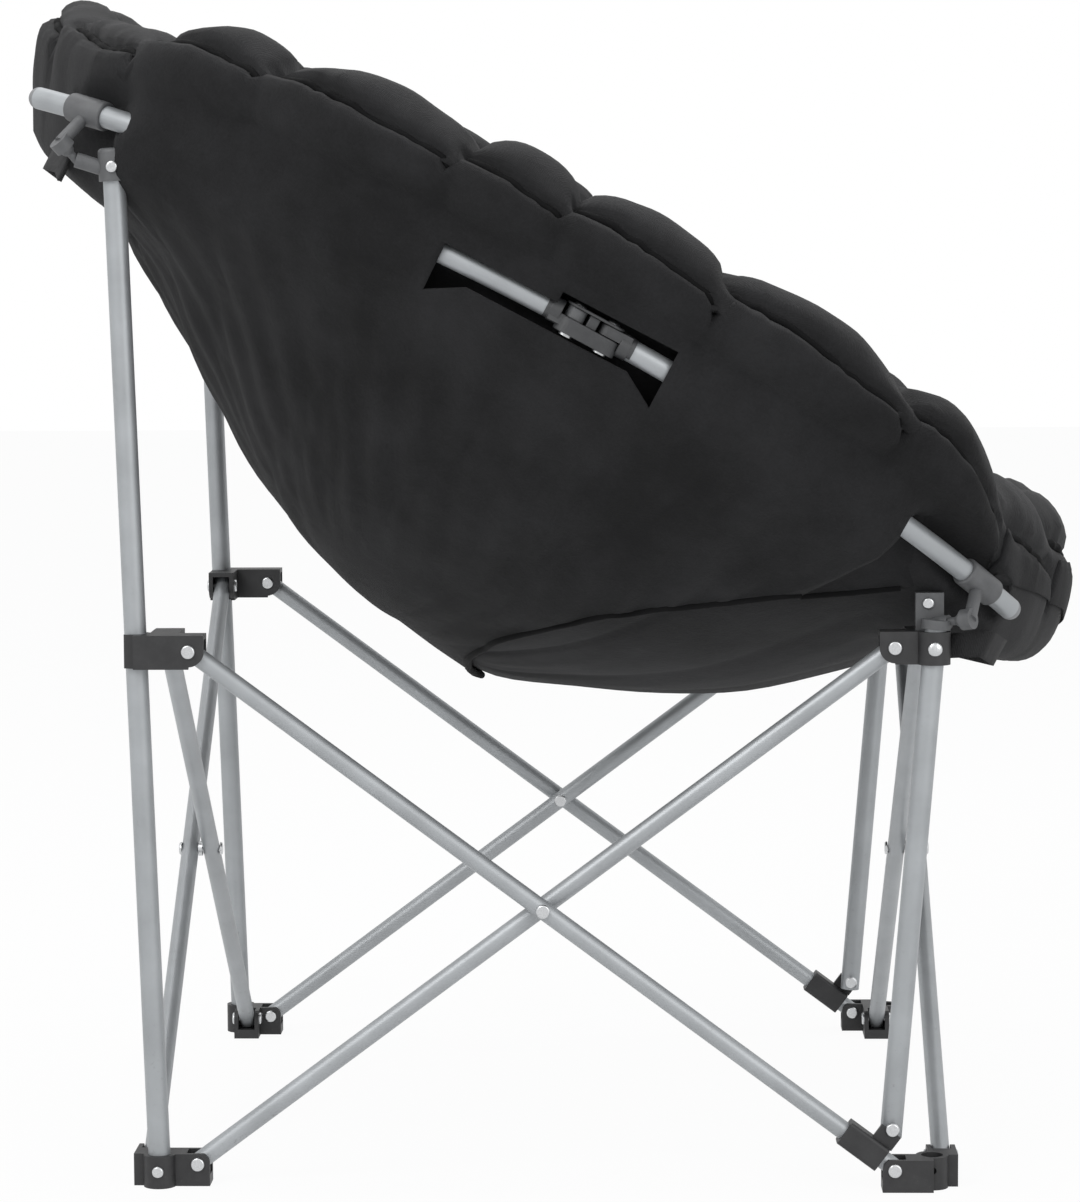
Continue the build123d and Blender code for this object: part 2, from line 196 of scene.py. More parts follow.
def moulded(name, shade, dusty, scuff):
    nylon = Finish(name)
    height = nylon.add("SeparateXYZ", None, {"Vector": nylon.place()}, out=2)
    grain = nylon.cloud(2200.0, 2.0)
    haze = nylon.cloud(60.0, 5.0, rough=0.65)
    foot = nylon.range(height, 0.0, 0.03, 0.8, 0.1)
    scratch = nylon.range(nylon.cloud(330.0, 6.0, rough=0.75), 0.58, 0.70, 0.0, 1.0) * foot
    base = nylon.ramp(haze, (0.35, shade), (0.75, dusty))
    base = nylon.mix(scratch * 0.6, base, colour(*scuff))
    return nylon.done(Base_Color=base, Roughness=0.44 + haze * 0.16,
                      Normal=nylon.bump(grain * 0.7 + haze * 0.3, 0.00012, 0.6))


give(moulded("black_nylon", (0.016, 0.016, 0.017), (0.032, 0.032, 0.033), (0.09, 0.09, 0.088)),
     "rear_foot", "front_foot", "slider", "front_hub", "leg_sleeve")

# ---- Grey fittings ------------------------------------------------------------
# Caps on the uprights and legs and the ball corners are the same moulding in mid grey.
# The bar ends and the hinge in the middle of each bar are darker, the bar tips paler.
give(moulded("grey_nylon", (0.085, 0.087, 0.090), (0.125, 0.127, 0.130), (0.20, 0.20, 0.20)),
     "rear_cap", "front_cap", "ring_corner")
give(moulded("dark_hinge_nylon", (0.035, 0.036, 0.038), (0.060, 0.061, 0.063), (0.12, 0.12, 0.12)),
     "ring_mid_near", "ring_mid_far", "ring_end")
give(moulded("pale_tip_nylon", (0.20, 0.203, 0.208), (0.26, 0.263, 0.268), (0.3, 0.3, 0.3)),
     "ring_tip")

# ---- Rivets -------------------------------------------------------------------
# Bright zinc-plated steel, domed by the riveting tool, with a faint ring of wear.
zinc = Finish("zinc_rivet")
plating = zinc.cloud(900.0, 4.0)
give(zinc.done(
    Base_Color=zinc.ramp(plating, (0.3, (0.52, 0.53, 0.54)), (0.7, (0.66, 0.67, 0.68))),
    Metallic=1.0, Roughness=0.24 + plating * 0.16, Normal=zinc.bump(plating, 0.00004, 0.5)),
    *[n for n in nodes if "rivets_" in n or "rivet_" in n or n.endswith("rivet")])


def fitted(name, shape, material, body, slot):
    """Makes a piece of a mesh or curve, with its finish, on its body."""
    shape.materials.append(material)
    piece = bpy.data.objects.new(name, shape)
    bpy.context.scene.collection.objects.link(piece)
    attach(piece, body)
    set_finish(piece, slot)
    return piece


def meshed(bm, name):
    mesh = bpy.data.meshes.new(name)
    bm.to_mesh(mesh)
    bm.free()
    return mesh


def made(bm, name, material, body, slot):
    """A piece that is smooth all over."""
    mesh = meshed(bm, name)
    for face in mesh.polygons:
        face.use_smooth = True
    return fitted(name, mesh, material, body, slot)


def dome(radius, flatness, place):
    """A rivet's head, flattened along its own axis."""
    bm = bmesh.new()
    bmesh.ops.create_uvsphere(bm, u_segments=24, v_segments=12, radius=radius)
    bmesh.ops.scale(bm, vec=flatness, verts=bm.verts)
    bmesh.ops.translate(bm, vec=place, verts=bm.verts)
    return bm


# One more of them pins each leg in its hub, through the hole in the hub's outer side.
HUB_PIN_Y, HUB_PIN_Z, HUB_PIN_HEAD = -0.3283, 0.466, 0.0062
for side, s in (("near", -1), ("far", 1)):
    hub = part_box("front_hub_" + side)
    outer = hub[0].x if s < 0 else hub[1].x
    pin = dome(HUB_PIN_HEAD, (0.42, 1, 1), (outer, HUB_PIN_Y, HUB_PIN_Z))
    body = nodes["front_hub_" + side]["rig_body"]
    made(pin, "hub_pin_" + side, zinc.material, body, "rivet_steel")

# ---- Seat pad -----------------------------------------------------------------
# A round quilted pad of charcoal polyester with soft filling: twenty gores sewn
# together along their edges, full at the rim like petals, slack in the bowl. It lies
# inside the two ring bars and is pulled tight round their fittings.
RING_CENTRE = Vector((0.0, (304.693 - 285.4) / 1000, 0.714))
SLOPE = math.radians(27.97)
ALONG = Vector((0.0, -math.cos(SLOPE), -math.sin(SLOPE)))       # to the front, downhill
ABOVE = Vector((0.0, -math.sin(SLOPE), math.cos(SLOPE)))
# a bar's axis: out from the middle at its ends and at its own middle, and its rise between
BAR_END, BAR_MIDDLE, BAR_LIFT = 281.3, 445.0, 51.0
ARC_HALF, SAG = 476.0, math.hypot(BAR_MIDDLE - BAR_END, BAR_LIFT)
ARC_R = (ARC_HALF ** 2 + SAG ** 2) / (2 * SAG)
# seams between the gores, in degrees from straight across; the two sides are alike
SEAMS = (-90.0, -69.0, -48.0, -35.0, -14.0, -2.0, 15.0, 37.0, 54.0, 72.0, 90.0)
SHAPE_POWER = 2.15                  # rim outline, between an ellipse and a square
FRONT_REACH, REAR_REACH, SIDE_REACH = 546.0, 530.0, 481.0


def in_ring(x, u, n):
    """A place in the ring's own directions, in millimetres, as a point of the frame."""
    return RING_CENTRE + Vector((x, 0, 0)) / 1000 + (ALONG * u + ABOVE * n) / 1000


def bar_at(u):
    """Distance from the middle and height of a ring bar's axis."""
    u = max(-ARC_HALF, min(ARC_HALF, u))
    rise = math.sqrt(ARC_R ** 2 - u * u) - (ARC_R - SAG)
    return BAR_END + rise * (BAR_MIDDLE - BAR_END) / SAG, rise * BAR_LIFT / SAG


BAR_SIGHT = 0.35                    # past this the direction misses the bar's ends


def bar_towards(angle):
    """Where the bar's axis crosses a direction seen from above the ring."""
    if abs(math.cos(angle)) < BAR_SIGHT:
        angle = math.copysign(math.acos(BAR_SIGHT), math.sin(angle))
    low, high = -ARC_HALF, ARC_HALF
    for _ in range(30):
        u = (low + high) / 2
        if u * abs(math.cos(angle)) < bar_at(u)[0] * math.sin(angle):
            low = u
        else:
            high = u
    x, n = bar_at(u)
    return math.hypot(x, u), n


def rim_at(angle):
    front = math.sin(angle) > 0
    across = abs(math.cos(angle)) / SIDE_REACH
    along = abs(math.sin(angle)) / (FRONT_REACH if front else REAR_REACH)
    return (across ** SHAPE_POWER + along ** SHAPE_POWER) ** (-1 / SHAPE_POWER)


# half sections from the middle of the underside, out round the rim, to the middle of
# the lining: at the sides the rim is given from the bar, at the ends from the middle
SIDE_SECTION = [
    (0, -276), (70, -272), (140, -256), (210, -226), (275, -182), (330, -128), (372, -72),
    (-32, -28), (-20, 0), (-13, 19), (12, 28), (31, 44), (37, 64), (30, 80), (16, 96),
    (-8, 104), (-40, 88), (-72, 22), (330, -16), (282, -78), (218, -138), (140, -186),
    (64, -214), (0, -222)]
REAR_SECTION = [
    (0, -276), (70, -254), (130, -226), (190, -192), (250, -150), (312, -106), (372, -70),
    (430, -54), (476, -44), (498, -30), (512, -4), (524, 24), (531, 48), (528, 68), (512, 84),
    (484, 88), (450, 68), (414, 26), (372, -18), (314, -70), (240, -124), (156, -170),
    (70, -206), (0, -222)]
FRONT_SECTION = [
    (0, -280), (60, -288), (110, -288), (180, -260), (252, -228), (322, -188), (390, -130),
    (444, -80), (496, -58), (532, -44), (546, -22), (545, 8), (538, 36), (526, 60), (500, 84),
    (468, 92), (436, 66), (402, 22), (366, -28), (314, -84), (240, -146), (156, -198),
    (70, -222), (0, -222)]
SIDE_BAR_ROWS = range(7, 18)        # the rows of a side section that go by the bar
FINE = 4


def smooth(points):
    """A flowing line through the points, FINE steps to each."""
    out = []
    for i in range(len(points) - 1):
        a, b, c, d = (points[max(0, min(len(points) - 1, i + k))] for k in (-1, 0, 1, 2))
        for step in range(FINE):
            t = step / FINE
            out.append(tuple(
                b[j] + 0.5 * t * (c[j] - a[j] + t * (
                    2 * a[j] - 5 * b[j] + 4 * c[j] - d[j] + t * (3 * (b[j] - c[j]) + d[j] - a[j])))
                for j in (0, 1)))
    return out + [tuple(points[-1])]


def ease(value, low, high):
    t = max(0.0, min(1.0, (value - low) / (high - low)))
    return t * t * (3 - 2 * t)


def section_at(angle, side, rear, front, bar_rows):
    """The half section in one direction, blended from the sides to the ends."""
    turn = math.degrees(abs(math.asin(max(-1, min(1, math.sin(angle))))))
    end = ease(turn, 40, 62)
    reach, level = bar_towards(angle)
    rim = rim_at(angle)
    ends, end_rim = (front, FRONT_REACH) if math.sin(angle) > 0 else (rear, REAR_REACH)
    mixed = []
    for k, ((r, n), (re, ne)) in enumerate(zip(side, ends)):
        if k in bar_rows:
            r, n = r + reach, n + level
        else:
            r = r * reach / BAR_MIDDLE
        re = re * rim / end_rim
        toward = end if k in bar_rows else math.sin(angle) ** 2
        mixed.append((r + (re - r) * toward, n + (ne - n) * toward))
    return mixed


# corner joints that the fabric keeps off: x, along, above and the room round each
CORNERS = [(340.0, -422.0, -24.0, 34.0), (340.0, 432.0, -24.0, 34.0),
           (296.0, -452.0, 4.0, 24.0), (296.0, 456.0, 4.0, 24.0),
           (336.0, -425.0, -60.0, 26.0), (336.0, 432.0, -60.0, 26.0)]


def clear_of_fittings(x, u, n, bar_room, hinge_room):
    """Fabric drawn tight round the bar, its corner joints and its middle hinge."""
    s, x = math.copysign(1.0, x), abs(x)
    for cx, cu, cn, room in CORNERS:
        gap = Vector((x - cx, u - cu, n - cn))
        if gap.length < room:
            gap = gap.normalized() * room
            x, u, n = cx + gap.x, cu + gap.y, cn + gap.z
    bx, bn = bar_at(u)
    bare = max(ease(u, 335, 372), ease(-u, 378, 400)) * (1 - ease(abs(u), 492, 515))
    trough = bx - bar_room - 3 + 52 * ((n - bn) / 44) ** 2
    if bare > 0 and x > trough:
        x += (trough - x) * bare
    if abs(u) < 470:
        room = bar_room + (hinge_room - bar_room) * (1 - ease(abs(u - 39.0), 45, 70))
        gap = Vector((x - bx, n - bn))
        if gap.length < room:
            gap = gap.normalized() * room
            x, n = bx + gap.x, bn + gap.y
    return s * x, u, n


def gore_at(angle):
    """The gore's number, how far across it (0 to 1), and its middle line's angle."""
    turn = math.degrees(math.atan2(math.sin(angle), abs(math.cos(angle))))
    k = max(i for i in range(len(SEAMS) - 1) if SEAMS[i] <= turn + 1e-9 or i == 0)
    share = (turn - SEAMS[k]) / (SEAMS[k + 1] - SEAMS[k])
    middle = math.radians((SEAMS[k] + SEAMS[k + 1]) / 2)
    if math.cos(angle) < 0:
        k, middle = k + len(SEAMS) - 1, math.pi - middle
    return k, max(0.0, min(1.0, share)), middle


def gathered(angle, along):
    """Small unevenness of hand-sewn cloth."""
    return (math.sin(23 * angle + 0.05 * along) * math.sin(0.021 * along + 3 * angle)
            + 0.6 * math.sin(61 * angle - 0.07 * along) * math.sin(0.013 * along + 1.7))


ROUND = 361                         # columns of a closed round, one to each degree


def turned(bm, columns, rows, place):
    """Shapes a flat grid into a closed round: round the ring, and along the section."""
    bmesh.ops.create_grid(bm, x_segments=columns, y_segments=rows, size=1.0)
    for v in bm.verts:
        v.co = place(math.pi * v.co.x, (v.co.y + 1) / 2)
    bmesh.ops.remove_doubles(bm, verts=bm.verts, dist=0.00002)
    bmesh.ops.recalc_face_normals(bm, faces=bm.faces)


def sewn_map(bm):
    """Weave map in metres: across each gore, and along it from the middle."""
    layer = bm.loops.layers.uv.new("weave")
    for face in bm.faces:
        middle = face.calc_center_median() - RING_CENTRE
        angle = math.atan2(middle.dot(ALONG), middle.x)
        centre = gore_at(angle)[2]
        for loop in face.loops:
            p = loop.vert.co - RING_CENTRE
            a = math.atan2(p.dot(ALONG), p.x)
            reach = math.hypot(p.x, p.dot(ALONG))
            off = (a - centre + math.pi) % (2 * math.pi) - math.pi
            loop[layer].uv = (off * reach, p.dot(ABOVE) * 0.8 + reach)


def woven(name, shade, light, thread, sheen, gloss=0.35):
    """Plain-weave polyester: threads both ways, faded in patches, with a little sheen."""
    cloth = Finish(name)
    flat = cloth.add("UVMap", {"uv_map": "weave"})
    across = cloth.add("SeparateXYZ", None, {"Vector": flat}, out=0)
    along = cloth.add("SeparateXYZ", None, {"Vector": flat}, out=1)
    turn = 2 * math.pi / thread
    weave = (across * turn).sum("SINE") * (along * turn).sum("SINE")
    haze = cloth.cloud(9.0, 5.0, rough=0.62)
    slub = cloth.cloud(420.0, 3.0)
    crease = cloth.cloud(48.0, 4.0, rough=0.55)
    share = cloth.range(haze + slub * 0.4 + weave * 0.10, 0.52, 0.92, 0.0, 1.0)
    base = cloth.mix(share, colour(*shade), colour(*light))
    rough = 0.78 + slub * 0.14
    return cloth.done(
        Base_Color=base, Roughness=rough, Specular_IOR_Level=gloss,
        Sheen_Weight=sheen, Sheen_Roughness=0.5,
        Normal=cloth.bump(weave * 0.10 + slub * 0.35 + crease, 0.0016, 0.8))


charcoal = woven("charcoal_polyester", (0.0058, 0.0058, 0.0062), (0.0185, 0.0185, 0.0198),
                 0.0016, 0.05, 0.30)
pad_sections = {}


def pad_section(angle):
    key = round(angle, 6)
    if key not in pad_sections:
        pad_sections[key] = smooth(
            section_at(angle, SIDE_SECTION, REAR_SECTION, FRONT_SECTION, SIDE_BAR_ROWS))
    return pad_sections[key]


PAD_ROWS = (len(SIDE_SECTION) - 1) * FINE
WELT_TUCK = 12.0                    # the rim seam pulls the padding in
PETAL_TUCK = 3.2                    # and so does a line of stitching round each petal's crown
PETAL_SEAM_ROW = 15.3
SWELL_UNDER, SWELL_BOLSTER, SWELL_PETAL, SWELL_LINING = 4.0, 9.0, 24.0, 14.0
PUCKER = 2.2                        # small pleats beside the rim seam


def welt_row(gore, across):
    """The rim seam's row: high at a gore's rear, sinking, with a hook down at its end."""
    hook = 1.15 * ease(across, 0.90, 1.0)
    return 13.0 + 0.35 * math.cos(math.pi * across) - hook + 0.15 * math.sin(gore * 1.7)


PAD_OFF_BAR, PAD_OFF_HINGE = 15.5, 27.0      # from the bar's axis


def pad_place(angle, share):
    line = pad_section(angle)
    k = round(share * PAD_ROWS)
    r, n = line[k]
    before, after = line[max(0, k - 1)], line[min(PAD_ROWS, k + 1)]
    out_r, out_n = after[1] - before[1], before[0] - after[0]
    length = math.hypot(out_r, out_n) or 1.0
    out_r, out_n = out_r / length, out_n / length
    gore, across, _ = gore_at(angle)
    row = k / FINE
    under = ease(row, 1.0, 3.0) * (1 - ease(row, 6.0, 9.0))
    bolster = ease(row, 9.0, 11.0) * (1 - ease(row, 12.2, 13.2))
    petal = ease(row, 12.6, 14.2) * (1 - ease(row, 16.0, 18.0))
    lining = ease(row, 16.0, 18.0) * (1 - 0.8 * ease(row, 19, 23))
    full = math.sin(math.pi * across)
    puff = (full ** 0.42 - 0.78) * (1 + 0.15 * math.sin(gore * 2.4 + 1.0))
    swell = puff * (SWELL_UNDER * under + SWELL_BOLSTER * bolster
                    + SWELL_PETAL * petal + SWELL_LINING * lining)
    swell -= WELT_TUCK * math.exp(-((row - welt_row(gore, across)) / 0.28) ** 2)
    from_seam = row - PETAL_SEAM_ROW - 0.25 * math.sin(5 * angle)
    swell -= PETAL_TUCK * math.exp(-(from_seam / 0.20) ** 2)
    uneven = (0.7 + 0.9 * petal) * gathered(angle, row * 22)
    swell += uneven * ease(row, 1, 3) * (1 - ease(row, 20, 23))
    pucker = math.exp(-((row - welt_row(gore, across)) / 0.9) ** 2)
    ripple = math.sin(97 * angle + 2.2 * math.sin(31 * angle))
    swell += PUCKER * pucker * ripple * (1 - 0.6 * across)
    r, n = r + out_r * swell, n + out_n * swell
    x, u = r * math.cos(angle), r * math.sin(angle)
    return in_ring(*clear_of_fittings(x, u, n, PAD_OFF_BAR, PAD_OFF_HINGE))


bm = bmesh.new()
turned(bm, ROUND, PAD_ROWS + 1, pad_place)
sewn_map(bm)
pad = made(bm, "seat_pad", charcoal, "seat", "fabric_pad")
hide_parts("seat_cushion")


def corded(name, points, radius, material, body, slot, closed=False):
    line = bpy.data.curves.new(name, "CURVE")
    line.dimensions, line.bevel_depth, line.bevel_resolution = "3D", radius, 3
    spline = line.splines.new("POLY")
    spline.points.add(len(points) - 1)
    for spot, place in zip(spline.points, points):
        spot.co = (*place, 1)
    spline.use_cyclic_u = closed
    line.use_fill_caps = not closed
    return fitted(name, line, material, body, slot)


PROUD = 0.0022                      # how far trim and cover stand off the pad


def on_pad(angle, row, proud):
    """A place on the finished pad, a little proud of it."""
    low, part = math.floor(row * FINE), row * FINE - math.floor(row * FINE)
    here = pad_place(angle, low / PAD_ROWS).lerp(pad_place(angle, (low + 1) / PAD_ROWS), part)
    return here + (here - in_ring(0, 0, 20)).normalized() * proud


# the rim seam is piped: the cut edges are bound into a thin black cord all the way round
WELT_STEPS = 480
welt_points = []
for step in range(WELT_STEPS):
    angle = 2 * math.pi * step / WELT_STEPS
    gore, across, _ = gore_at(angle)
    welt_points.append(on_pad(angle, welt_row(gore, across), PROUD))
piping = woven("black_binding", (0.0018, 0.0018, 0.0020), (0.0052, 0.0052, 0.0056),
               0.0012, 0.01, 0.15)
soft_pieces = [pad, corded("seat_rim_piping", welt_points, 0.0040, piping, "seat", "fabric_pad",
                           closed=True)]

# ---- Middle hinge shells ------------------------------------------------------
# The link in the middle of each side is a dark nylon channel: a deep shell under the
# two bar ends, a web between them and a thin plate on top, held by domed rivets.
# Each bar runs into a short collar of the same nylon where it meets the channel.
HINGE_U, HINGE_HALF = 39.0, 15.5
COLLAR_R, COLLAR_LENGTH = 0.0106, 0.010
COLLARS = (("rear", 12.5, 2.5), ("front", 65.5, 75.5))          # from and to, along the bar
# each plate's radius, and its lower and upper faces from the bars' axis
PLATES = (("hinge_shell_", 0.0122, -0.0136, -0.0005), ("hinge_plate_", 0.0108, 0.0097, 0.0121))
WEB, BETWEEN = (0.009, 0.015, 0.0106), 0.0046
SPACER_R, SPACER_HIGH = 0.0085, 0.0100
HINGE_PIN_HEAD, HINGE_PIN_AT = 0.0056, 0.0122
hinge_nylon = bpy.data.materials["dark_hinge_nylon"]


def on_bar(s, u):
    return in_ring(s * bar_at(u)[0], u, bar_at(u)[1])


def moulding(bm, name, material, body, slot, soft=0.0009):
    """Bevels a hard piece's sharp edges and hands it to its body."""
    bmesh.ops.recalc_face_normals(bm, faces=bm.faces)
    sharp = [e for e in bm.edges if len(e.link_faces) == 2 and e.calc_face_angle() > 0.7]
    bmesh.ops.bevel(bm, geom=sharp, offset=soft, segments=2, profile=0.5, affect="EDGES",
                    material=-1)
    fitted(name, meshed(bm, name), material, body, slot)


def lying(s):
    """The place and turn of a side's middle hinge: along the bars, across, and up."""
    back, front = on_bar(s, HINGE_U - HINGE_HALF), on_bar(s, HINGE_U + HINGE_HALF)
    along = (front - back).normalized()
    across = ABOVE.cross(along).normalized()
    turn = Matrix((along, across, along.cross(across))).transposed().to_4x4()
    turn.translation = (back + front) / 2
    return turn


def slotted(bm, radius, low, high):
    """A plate with round ends, long enough for both pivots."""
    verts = []
    for end in (-1, 1):
        for level in (low, high):
            ring = bmesh.ops.create_circle(bm, segments=32, radius=radius)["verts"]
            bmesh.ops.translate(bm, vec=(end * HINGE_HALF / 1000, 0, level), verts=ring)
            verts += ring
    bmesh.ops.convex_hull(bm, input=verts)


for side, s in (("near", -1), ("far", 1)):
    place, body = lying(s), "ring_mid_" + side
    for name, radius, low, high in PLATES:
        bm = bmesh.new()
        slotted(bm, radius, low, high)
        bmesh.ops.transform(bm, matrix=place, verts=bm.verts)
        moulding(bm, name + side, hinge_nylon, body, "grey_plastic")
    bm = bmesh.new()
    bmesh.ops.create_cube(bm, size=1.0)
    bmesh.ops.scale(bm, vec=WEB, verts=bm.verts)
    bmesh.ops.translate(bm, vec=(0, 0, BETWEEN), verts=bm.verts)
    bmesh.ops.transform(bm, matrix=place, verts=bm.verts)
    moulding(bm, "hinge_web_" + side, hinge_nylon, body, "grey_plastic")
    bm = bmesh.new()
    bmesh.ops.create_cone(bm, cap_ends=True, segments=32,
                          radius1=SPACER_R, radius2=SPACER_R, depth=SPACER_HIGH)
    bmesh.ops.translate(bm, vec=(-HINGE_HALF / 1000, 0, BETWEEN), verts=bm.verts)
    bmesh.ops.transform(bm, matrix=place, verts=bm.verts)
    moulding(bm, "hinge_spacer_" + side, bpy.data.materials["grey_nylon"], body, "grey_plastic")
    for end in (-1, 1):
        head = dome(HINGE_PIN_HEAD, (1, 1, 0.45), (end * HINGE_HALF / 1000, 0, HINGE_PIN_AT))
        bmesh.ops.transform(head, matrix=place, verts=head.verts)
        name = "hinge_rivet_%s_%s" % ("rear" if end < 0 else "front", side)
        moulding(head, name, zinc.material, body, "rivet_steel", 0.0)
    for end, u0, u1 in COLLARS:
        bm = bmesh.new()
        bmesh.ops.create_cone(bm, cap_ends=True, segments=40,
                              radius1=COLLAR_R, radius2=COLLAR_R, depth=COLLAR_LENGTH)
        a, b = on_bar(s, u0), on_bar(s, u1)
        turn = (b - a).to_track_quat("Z", "X").to_matrix().to_4x4()
        turn.translation = (a + b) / 2
        bmesh.ops.transform(bm, matrix=turn, verts=bm.verts)
        name = "hinge_collar_%s_%s" % (end, side)
        moulding(bm, name, hinge_nylon, "ring_%s_%s" % (end, side), "grey_plastic")

# ---- Outer cover --------------------------------------------------------------
# One skin of the same polyester hangs outside the pad, its colour painted a shade darker
# than the pad's as painted shade. It wraps the ring bars as sleeves, lies on the pad from
# there up to the rim seam, is cut away round each middle hinge and stops short of the
# corner joints. Its front lower edge is a bound hem that rises to the front legs.
SLEEVE_ROWS = [(-15, -50), (1, -27), (9.5, -13), (12.4, 0), (13.5, 12)]
REAR_ROWS = [(400, -66), (432, -60), (460, -54), (484, -46), (500, -34)]
FRONT_ROWS = [(430, -98), (458, -80), (484, -68), (512, -58), (532, -48)]
HANGING_ROWS = (7 + len(SLEEVE_ROWS) - 1) * FINE
BAND_ROWS, BAND_FROM, BAND_TO = 12, 10.0, 12.85     # the band on the pad, in pad rows
COVER_ROWS = HANGING_ROWS + BAND_ROWS
COVER_OFF_BAR, COVER_THICK = 11.8, 0.0014
cover_sections = {}


def cover_section(angle):
    if angle not in cover_sections:
        under = section_at(angle, SIDE_SECTION, REAR_SECTION, FRONT_SECTION, SIDE_BAR_ROWS)[:7]
        turn = math.degrees(abs(math.asin(max(-1, min(1, math.sin(angle))))))
        front = math.sin(angle) > 0
        inside = 27 * (ease(turn, 43.0, 45.5) if front else ease(turn, 48.0, 50.5))
        end = ease(turn, 50, 62)
        reach, level = bar_towards(angle)
        rim = rim_at(angle) / (FRONT_REACH if front else REAR_REACH)
        edge = []
        for (r, n), (re, ne) in zip(SLEEVE_ROWS, FRONT_ROWS if front else REAR_ROWS):
            r, n, re = r + reach - inside, n + level, re * rim
            edge.append((r + (re - r) * end, n + (ne - n) * end))
        cover_sections[angle] = smooth([(r + 3, n - 5) for r, n in under] + edge)
    return cover_sections[angle]


def cover_place(angle, share):
    angle = round(angle, 6)
    k = round(share * COVER_ROWS)
    if k > HANGING_ROWS:
        gore, across, _ = gore_at(angle)
        top = min(BAND_TO, welt_row(gore, across) - 0.1)
        row = BAND_FROM + (top - BAND_FROM) * (k - HANGING_ROWS) / BAND_ROWS
        return on_pad(angle, row, PROUD)
    r, n = cover_section(angle)[k]
    row = k / FINE
    hang = ease(row, 1.0, 4.0) * (1 - ease(row, 7.0, 9.0))
    fold = 4.2 * math.sin(9 * angle + 0.55 * row) * math.sin(0.9 * row)
    fold += 2.6 * gathered(angle, row * 40)
    r, n = r + hang * abs(fold) * 0.6, n - hang * abs(fold) * 0.8
    x, u = r * math.cos(angle), r * math.sin(angle)
    return in_ring(*clear_of_fittings(x, u, n, COVER_OFF_BAR, COVER_OFF_BAR))


bm = bmesh.new()
turned(bm, ROUND, COVER_ROWS + 1, cover_place)
sewn_map(bm)


def cut(bm, place, direction, drop=False):
    """One straight cut of the shears; the far side falls away if drop is set."""
    geom = bm.verts[:] + bm.edges[:] + bm.faces[:]
    return bmesh.ops.bisect_plane(bm, geom=geom, plane_co=place, plane_no=direction,
                                  clear_outer=drop)


# windows round the middle hinges
WINDOW_REAR, WINDOW_FRONT, HINGE_REAR = -97.0, 112.0, 6.0
for edge in (WINDOW_REAR, WINDOW_FRONT):
    cut(bm, in_ring(0, edge, 0), ALONG)
WINDOW_LOW, WINDOW_HIGH, OVER_HINGE = 33.0, 57.0, 67.0
for edge in (WINDOW_LOW, WINDOW_HIGH, OVER_HINGE):
    cut(bm, in_ring(0, 0, edge), ABOVE)
cut(bm, in_ring(0, HINGE_REAR, 0), ALONG)
# its lower corners are snipped deeper, so that the cloth can turn round the bar
SNIP_LOW, SNIP_REAR, SNIP_FRONT = 15.0, 31.0, 30.0
for corner, inner in ((WINDOW_REAR, WINDOW_REAR + SNIP_REAR),
                      (WINDOW_FRONT, WINDOW_FRONT - SNIP_FRONT)):
    slant = in_ring(0, inner, WINDOW_LOW) - in_ring(0, corner, SNIP_LOW)
    cut(bm, in_ring(0, corner, SNIP_LOW), slant.cross(Vector((1, 0, 0))).normalized())


def in_window(u, n):
    high = OVER_HINGE if u > HINGE_REAR else WINDOW_HIGH
    if not WINDOW_REAR < u < WINDOW_FRONT or n > high:
        return False
    inwards = min((u - WINDOW_REAR) / SNIP_REAR, (WINDOW_FRONT - u) / SNIP_FRONT, 1.0)
    return n > SNIP_LOW + (WINDOW_LOW - SNIP_LOW) * inwards


window = []
for face in bm.faces:
    p = face.calc_center_median() - RING_CENTRE
    u, n = p.dot(ALONG) * 1000, p.dot(ABOVE) * 1000
    if abs(p.x) * 1000 > 300 and in_window(u, n):
        window.append(face)
bmesh.ops.delete(bm, geom=window, context="FACES")
# the rising hem, cut on each side of the middle by a slanting plane
halves = []
HEM = (in_ring(0, 104, -292), in_ring(-300, 256, -104), in_ring(-352, 402, 4))
HEM_REACH, HEM_TOP = 0.380, -0.012  # the bound part's end, along and above
HEM_STEP, HEM_BREAK = 0.005, 0.05   # the cut edge's points nearer are one, further are apart
for s in (1, -1):
    flip = [Vector((p.x * s, p.y, p.z)) for p in HEM]
    across = (flip[1] - flip[0]).cross(flip[2] - flip[0]).normalized()
    if across.dot(-ABOVE + ALONG * 0.3) < 0:
        across = -across
    half = bm.copy()
    cut(half, Vector((0, 0, 0)), Vector((s, 0, 0)), True)
    edge = cut(half, flip[0], across, True)["geom_cut"]
    loose = [v.co.copy() for v in edge if isinstance(v, bmesh.types.BMVert)
             and (v.co - RING_CENTRE).dot(ALONG) < HEM_REACH
             and (v.co - RING_CENTRE).dot(ABOVE) < HEM_TOP]
    hem = [min(loose, key=lambda c: abs(c.x))]
    while loose:
        loose = [c for c in loose if (c - hem[-1]).length > HEM_STEP]
        near = min(loose, key=lambda c: (c - hem[-1]).length, default=None)
        if near is None or (near - hem[-1]).length > HEM_BREAK:
            break
        hem.append(near)
    halves.append((half, hem))
bm.free()
joined = bmesh.new()
for half, _ in halves:
    spare = bpy.data.meshes.new("spare")
    half.to_mesh(spare)
    half.free()
    joined.from_mesh(spare)
    bpy.data.meshes.remove(spare)
bmesh.ops.remove_doubles(joined, verts=joined.verts, dist=0.0001)
# painted shade: the cover's dark tone is set below the pad's, on a copy of the same charcoal
# polyester
cover_cloth_painted_shade = woven("charcoal_cover", (0.0050, 0.0050, 0.0054), (0.0185, 0.0185, 0.0197),
                    0.0014, 0.03, 0.24)
cover_area = sum(f.calc_area() for f in joined.faces)
cover = made(joined, "seat_cover", cover_cloth_painted_shade, "seat", "fabric_sleeve")
skin = cover.modifiers.new("skin", "SOLIDIFY")
skin.thickness, skin.offset = COVER_THICK, 0.0
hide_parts("seat_sleeves")
round(cover_area * 0.97, 3)
soft_pieces.append(cover)
